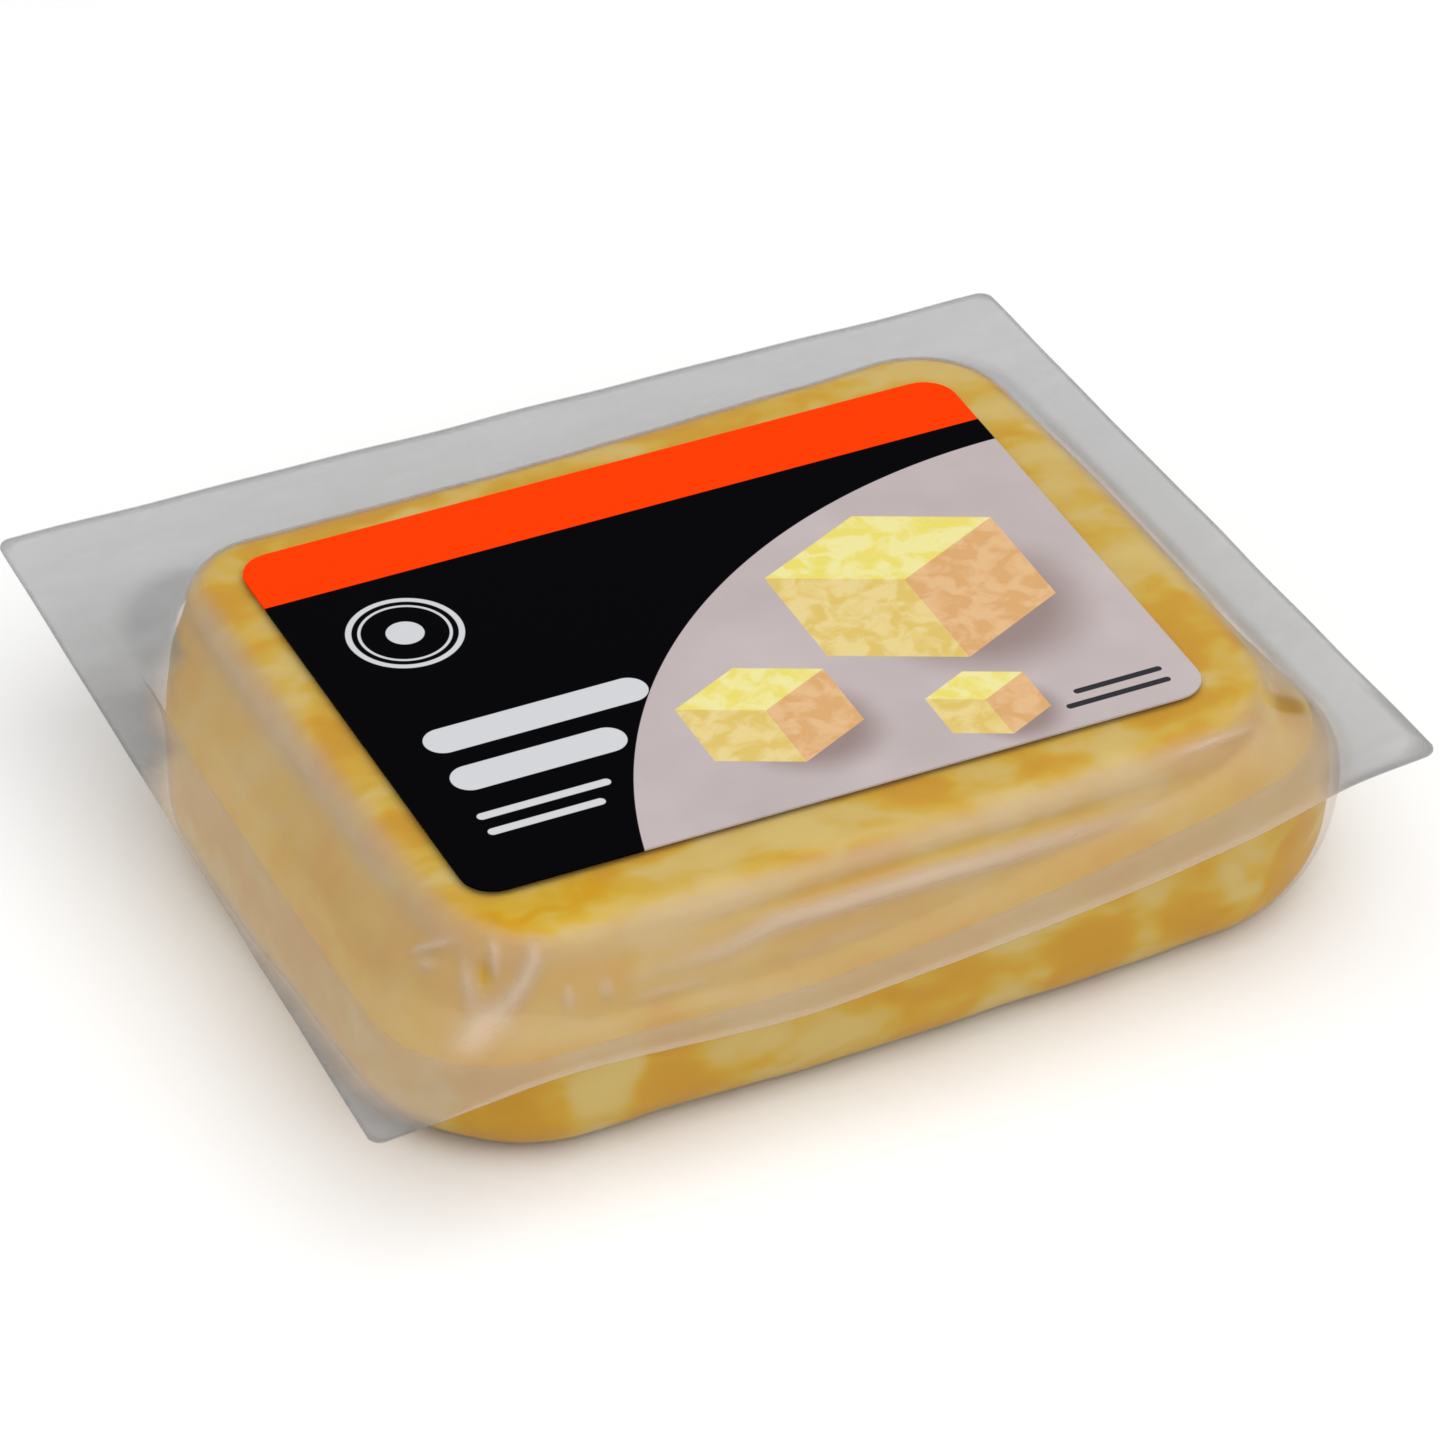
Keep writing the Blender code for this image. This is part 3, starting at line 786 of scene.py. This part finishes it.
def printed_label_material(colours, centre, turn):
    """A printed label: band, dark field, pale panel with cubes of cheese, bars and a ring."""
    nodes = Nodes("printed_label")
    coords = nodes.stretched((*centre, 0.0), (0.0, 0.0, turn), (MM, MM, MM))
    parts = nodes.add("ShaderNodeSeparateXYZ")
    nodes.set(parts.inputs[0], coords)
    flat = nodes.add("ShaderNodeCombineXYZ")
    nodes.set(flat.inputs[0], parts.outputs[0])
    nodes.set(flat.inputs[1], parts.outputs[1])
    coords = flat.outputs[0]
    drawn = Print(nodes, coords)
    mark = tuple(colours.mark)
    colour = tuple(colours.field)

    panel_tone = nodes.ramp(nodes.noise(coords, 0.06, 3.0), ((0.3, tuple(part * 0.86 for part in colours.panel)),
                                                            (0.7, tuple(colours.panel))))
    panel = drawn.disc((45.0, -52.0), 72.0)
    colour = nodes.mix(panel, colour, panel_tone)

    marbling = nodes.noise(coords, 0.33, 3.0, 0.55, 0.6)
    tones = (
        nodes.ramp(marbling, ((0.42, (0.72, 0.62, 0.14)), (0.58, (0.75, 0.69, 0.3)))),
        nodes.ramp(marbling, ((0.42, (0.64, 0.47, 0.13)), (0.58, (0.7, 0.56, 0.24)))),
        nodes.ramp(marbling, ((0.42, (0.62, 0.35, 0.15)), (0.58, (0.68, 0.43, 0.22)))),
    )
    for middle, edge in (((23.0, -1.0), 16.5), ((-2.0, -17.0), 10.5), ((21.0, -25.5), 7.0)):
        shade = drawn.glow((middle[0] + 0.3 * edge, middle[1] - 0.5 * edge), 0.4 * edge, 0.55 * edge)
        colour = nodes.mix(nodes.math("MULTIPLY", shade, 0.6), colour, (0.16, 0.09, 0.07))
        for points, tone in zip(cube_faces(middle, edge), tones):
            colour = nodes.mix(drawn.polygon(points), colour, tone)

    marks = drawn.any_of(
        drawn.ring((-32.5, 13.5), 6.4, 0.7), drawn.ring((-32.5, 13.5), 5.2, 0.35), drawn.disc((-32.5, 13.5), 2.2),
        drawn.bar((-25.5, -7.0), 27.0, 4.6), drawn.bar((-28.5, -14.5), 21.0, 4.6),
        drawn.bar((-31.0, -21.5), 16.0, 1.2), drawn.bar((-32.0, -24.5), 14.0, 1.2),
    )
    colour = nodes.mix(marks, colour, mark)
    small = drawn.any_of(drawn.bar((36.0, -28.4), 11.0, 0.9), drawn.bar((35.0, -30.6), 13.0, 0.9))
    colour = nodes.mix(small, colour, (0.03, 0.03, 0.035))
    colour = nodes.mix(drawn.side((0.0, 1.0), 24.5), colour, tuple(colours.band))

    nodes.set(nodes.shader.inputs["Base Color"], colour)
    nodes.shader.inputs["Roughness"].default_value = 0.36
    nodes.shader.inputs["Specular IOR Level"].default_value = 0.01
    nodes.bump(nodes.noise(nodes.coords, 160.0, 2.0), 0.12, 0.1 * MM)
    return nodes.material


def floor_material(colour):
    """Plain pale floor."""
    nodes = Nodes("pale_floor")
    nodes.set(nodes.shader.inputs["Base Color"], tuple(colour))
    nodes.shader.inputs["Roughness"].default_value = 0.9
    nodes.shader.inputs["Specular IOR Level"].default_value = 0.1
    return nodes.material


class CHEESE_PACK_OT_cheese(Operator):
    """The block of cheese inside its film"""

    bl_idname = "cheese_pack.cheese"
    bl_label = "Marbled Cheese"

    def execute(self, context):
        sizes = context.scene.cheese_pack_sizes
        surface = block_surface()
        folds = sizes.fold_scale * fold_field(surface)[0]
        folds = np.where(folds > 0, FOLD_FILL * folds, folds)
        push = lumps(surface, sizes.lump_size, sizes.lump_height) + folds - sizes.cheese_gap
        surface = surface + TRAY_FLARE_FILL * tray_flare(surface, surface)[1]
        rows = (surface + normals_of(surface) * push[:, :, None])[::CHEESE_ROW_STEP]
        rows[:, :, 2] = np.clip(rows[:, :, 2], sizes.cheese_gap, None)
        under = inner_rows(rows[0], 0.3, BOTTOM_ROWS)[::-1]
        over = inner_rows(rows[-1], 0.75, TOP_ROWS)
        rows = np.array([*under, *rows, *over])
        cheese = sheet_over("marbled_cheese", rows, {"curd": curd_field(rows)}, (0, len(rows) - 1))
        make_active(cheese)
        bpy.ops.object.shade_smooth()
        cheese.data.materials.append(marbled_cheese_material(context.scene.cheese_pack_colours, sizes.curd_size))
        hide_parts("cheese_block")
        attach(cheese, "root")
        return {"FINISHED"}


class CHEESE_PACK_OT_upper_web(Operator):
    """The upper web of film, from the sealed edge over the sides and the top"""

    bl_idname = "cheese_pack.upper_web"
    bl_label = "Upper Web"

    def execute(self, context):
        sizes = context.scene.cheese_pack_sizes
        colours = context.scene.cheese_pack_colours
        surface = block_surface()
        start = joint_places(surface)
        end = np.full_like(start, len(surface) - 1.0)
        wall = [rows_at(surface, start + (end - start) * share) for share in np.linspace(0.0, 1.0, WALL_ROWS)]
        rows = rounded_joint(np.array([*flange_rows(wall[0])[:-1], *wall, *inner_rows(wall[-1], 0.8, TOP_ROWS)]),
                             UPPER_SOFTNESS)
        normals = normals_of(rows)
        folds, fold_painted_light = fold_field(rows)
        on_block = ease(np.arange(len(rows)), FLANGE_ROWS - 7, FLANGE_ROWS - 1)[:, None]
        push = sizes.fold_scale * folds + ripples(rows, sizes.ripple_height)
        push = push + on_block * lumps(rows, sizes.lump_size, sizes.lump_height)
        push = push + (1 - on_block) * sizes.web_thickness
        shaped = rows + normals * push[:, :, None]
        rise = ease(rows[:, :, 2], LEVELS[-1][0], TOP_HEIGHT) * on_block
        shaped[:, :, 2] = np.minimum(shaped[:, :, 2] + sizes.top_lift * rise, TOP_HEIGHT + sizes.top_lift)

        height = rows[:, :, 2] - TOP_HEIGHT
        # The rim's extra haze, in the milky colour, is a painted highlight along the rounded rim.
        rim = ease(height, -5.5 * MM, -2.5 * MM) * ease(height, -0.1 * MM, -1.2 * MM)
        top = ease(height, -1.8 * MM, -0.1 * MM)
        haze = colours.wall_haze * (1 - top) + colours.top_haze * top + (colours.rim_highlight_haze - colours.wall_haze) * rim
        warmth = film_warmth(rows)
        side = ease(np.arange(len(rows)) - FLANGE_ROWS, *UPPER_HAZE_TURN)[:, None] * warmth
        haze = flange_haze(rows, warmth, colours) * (1 - side) + haze * side
        haze = haze + FREE_SIDE_HAZE * on_block * (1 - warmth)
        # Folds add milky film as painted highlights on ridges and clear it over creases, which paints them darker.
        haze = np.clip(haze + FOLD_PAINTED_LIGHT_HAZE * fold_painted_light, 0.0, 1.0)
        painted_light = np.maximum(warmth, fold_painted_light)
        web = sheet_over("upper_film_web", shaped, {"haze": haze, "painted_light": painted_light}, (len(rows) - 1,))
        thicken(web, sizes.web_thickness)
        web.data.materials.append(clear_film_material("upper_film", colours, 0.05))
        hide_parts("film_flange", "cheese_block")
        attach(web, "root")
        return {"FINISHED"}


class CHEESE_PACK_OT_lower_web(Operator):
    """The lower web of film, a tray from the sealed edge down round the cheese"""

    bl_idname = "cheese_pack.lower_web"
    bl_label = "Lower Web"

    def execute(self, context):
        sizes = context.scene.cheese_pack_sizes
        colours = context.scene.cheese_pack_colours
        surface = block_surface()
        start = joint_places(surface)
        wall = np.array([rows_at(surface, start * (1 - share)) for share in np.linspace(0.0, 1.0, WALL_ROWS)])
        flare, move = tray_flare(wall, surface)
        wall = wall + move
        rows = rounded_joint(np.array([*flange_rows(wall[0])[:-1], *wall, *inner_rows(wall[-1], 0.3, BOTTOM_ROWS)]),
                             LOWER_SOFTNESS)
        normals = -normals_of(rows)
        on_block = ease(np.arange(len(rows)), FLANGE_ROWS - 7, FLANGE_ROWS - 1)[:, None]
        push = on_block * lumps(rows, sizes.lump_size, sizes.lump_height) - ripples(rows, sizes.ripple_height)
        push = push + (1 - on_block) * sizes.web_thickness
        shaped = rows + normals * push[:, :, None]
        shaped[:, :, 2] = np.clip(shaped[:, :, 2], 0.0, None)
        warmth = film_warmth(rows)
        side = ease(np.arange(len(rows)) - FLANGE_ROWS, *LOWER_HAZE_TURN)[:, None]
        haze = flange_haze(rows, warmth, colours) * (1 - side) + colours.tray_haze * side
        haze[FLANGE_ROWS - 1:FLANGE_ROWS - 1 + len(wall)] += TRAY_FLARE_HAZE * flare ** 3
        # The warm area takes the painted glow of the cheese's light.
        values = {"haze": haze[::-1], "painted_light": warmth[::-1]}
        web = sheet_over("lower_film_web", shaped[::-1], values, (0,))
        thicken(web, sizes.web_thickness)
        web.data.materials.append(clear_film_material("lower_film", colours, 0.2))
        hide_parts("film_flange", "cheese_block")
        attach(web, "root")
        return {"FINISHED"}


class CHEESE_PACK_OT_label(Operator):
    """The print on the label"""

    bl_idname = "cheese_pack.label"
    bl_label = "Printed Label"

    def execute(self, context):
        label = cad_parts["label"]
        low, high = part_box("label")
        middle = (low + high) / 2
        material = printed_label_material(context.scene.cheese_pack_colours, (middle.x, middle.y), math.radians(0.4))
        label.data.materials.clear()
        label.data.materials.append(material)
        return {"FINISHED"}


def soft_light(name, place, size, power):
    """A square soft light that faces the pack and isn't seen itself."""
    light = bpy.data.lights.new(name, "AREA")
    light.shape = "SQUARE"
    light.size = size
    light.energy = power
    obj = bpy.data.objects.new(name, light)
    bpy.context.scene.collection.objects.link(obj)
    obj.location = place
    obj.rotation_euler = (-Vector(place)).to_track_quat("-Z", "Y").to_euler()
    obj.visible_camera = False


class CHEESE_PACK_OT_stage(Operator):
    """The floor, the light and the camera"""

    bl_idname = "cheese_pack.stage"
    bl_label = "Stage"

    def execute(self, context):
        scene = context.scene
        stage = scene.cheese_pack_stage
        deselect_all()
        bpy.ops.mesh.primitive_plane_add(size=8.0, location=(0.0, 0.0, -0.05 * MM))
        floor = context.object
        floor.name = "pale_floor"
        floor.data.materials.append(floor_material(stage.floor))

        world = bpy.data.worlds.new("soft_surround")
        world.use_nodes = True
        tree = world.node_tree
        coords, parts = (tree.nodes.new(kind) for kind in ("ShaderNodeTexCoord", "ShaderNodeSeparateXYZ"))
        fade = tree.nodes.new("ShaderNodeMapRange")
        for key, value in (("From Min", 0.0), ("From Max", 0.4), ("To Min", stage.surround_low),
                           ("To Max", stage.surround_high)):
            fade.inputs[key].default_value = value
        background = tree.nodes["Background"]
        background.inputs["Color"].default_value = (1.0, 1.0, 1.0, 1.0)
        tree.links.new(coords.outputs["Generated"], parts.inputs[0])
        tree.links.new(parts.outputs[2], fade.inputs["Value"])
        tree.links.new(fade.outputs[0], background.inputs["Strength"])
        scene.world = world
        soft_light("key_light", (0.0, -0.45, 1.15), 2.0, stage.key_power)

        back = Vector((math.sin(stage.azimuth) * math.cos(stage.elevation),
                       -math.cos(stage.azimuth) * math.cos(stage.elevation), math.sin(stage.elevation)))
        right = Vector((math.cos(stage.azimuth), math.sin(stage.azimuth), 0.0))
        up = back.cross(right)
        camera = bpy.data.objects.new("camera", bpy.data.cameras.new("camera"))
        scene.collection.objects.link(camera)
        turn = Matrix((right, up, back)).transposed().to_4x4()
        place = right * stage.aside + up * stage.raised + back * stage.distance
        camera.matrix_world = Matrix.Translation(place) @ turn
        camera.data.lens = stage.lens
        camera.data.sensor_width = 36.0
        camera.data.clip_start = 0.01
        camera.data.clip_end = 20.0
        scene.camera = camera
        scene.view_settings.view_transform = "Standard"
        scene.view_settings.look = "None"
        return {"FINISHED"}


class CHEESE_PACK_PT_panel(Panel):
    """The pieces and their sizes, in the sidebar of the 3D view"""

    bl_label = "Cheese Pack"
    bl_space_type = "VIEW_3D"
    bl_region_type = "UI"
    bl_category = "Cheese Pack"

    def draw(self, context):
        layout = self.layout
        for operator in OPERATORS:
            layout.operator(operator.bl_idname)
        for group in (context.scene.cheese_pack_sizes, context.scene.cheese_pack_colours,
                      context.scene.cheese_pack_stage):
            box = layout.box()
            for key in group.__annotations__:
                box.prop(group, key)


GROUPS = {
    "cheese_pack_sizes": CheesePackSizes,
    "cheese_pack_colours": CheesePackColours,
    "cheese_pack_stage": CheesePackStage,
}
OPERATORS = (
    CHEESE_PACK_OT_cheese,
    CHEESE_PACK_OT_lower_web,
    CHEESE_PACK_OT_upper_web,
    CHEESE_PACK_OT_label,
    CHEESE_PACK_OT_stage,
)


def register():
    """Add the classes and the scene's settings."""
    for cls in (*GROUPS.values(), *OPERATORS, CHEESE_PACK_PT_panel):
        bpy.utils.register_class(cls)
    for key, group in GROUPS.items():
        setattr(bpy.types.Scene, key, PointerProperty(type=group))


def unregister():
    """Remove the settings and the classes."""
    for key in GROUPS:
        delattr(bpy.types.Scene, key)
    for cls in (CHEESE_PACK_PT_panel, *reversed(OPERATORS), *reversed(list(GROUPS.values()))):
        bpy.utils.unregister_class(cls)


def main():
    """Build the pack and the stage."""
    register()
    bpy.ops.cheese_pack.cheese()
    bpy.ops.cheese_pack.lower_web()
    bpy.ops.cheese_pack.upper_web()
    bpy.ops.cheese_pack.label()
    bpy.ops.cheese_pack.stage()


if __name__ == "__main__":
    main()
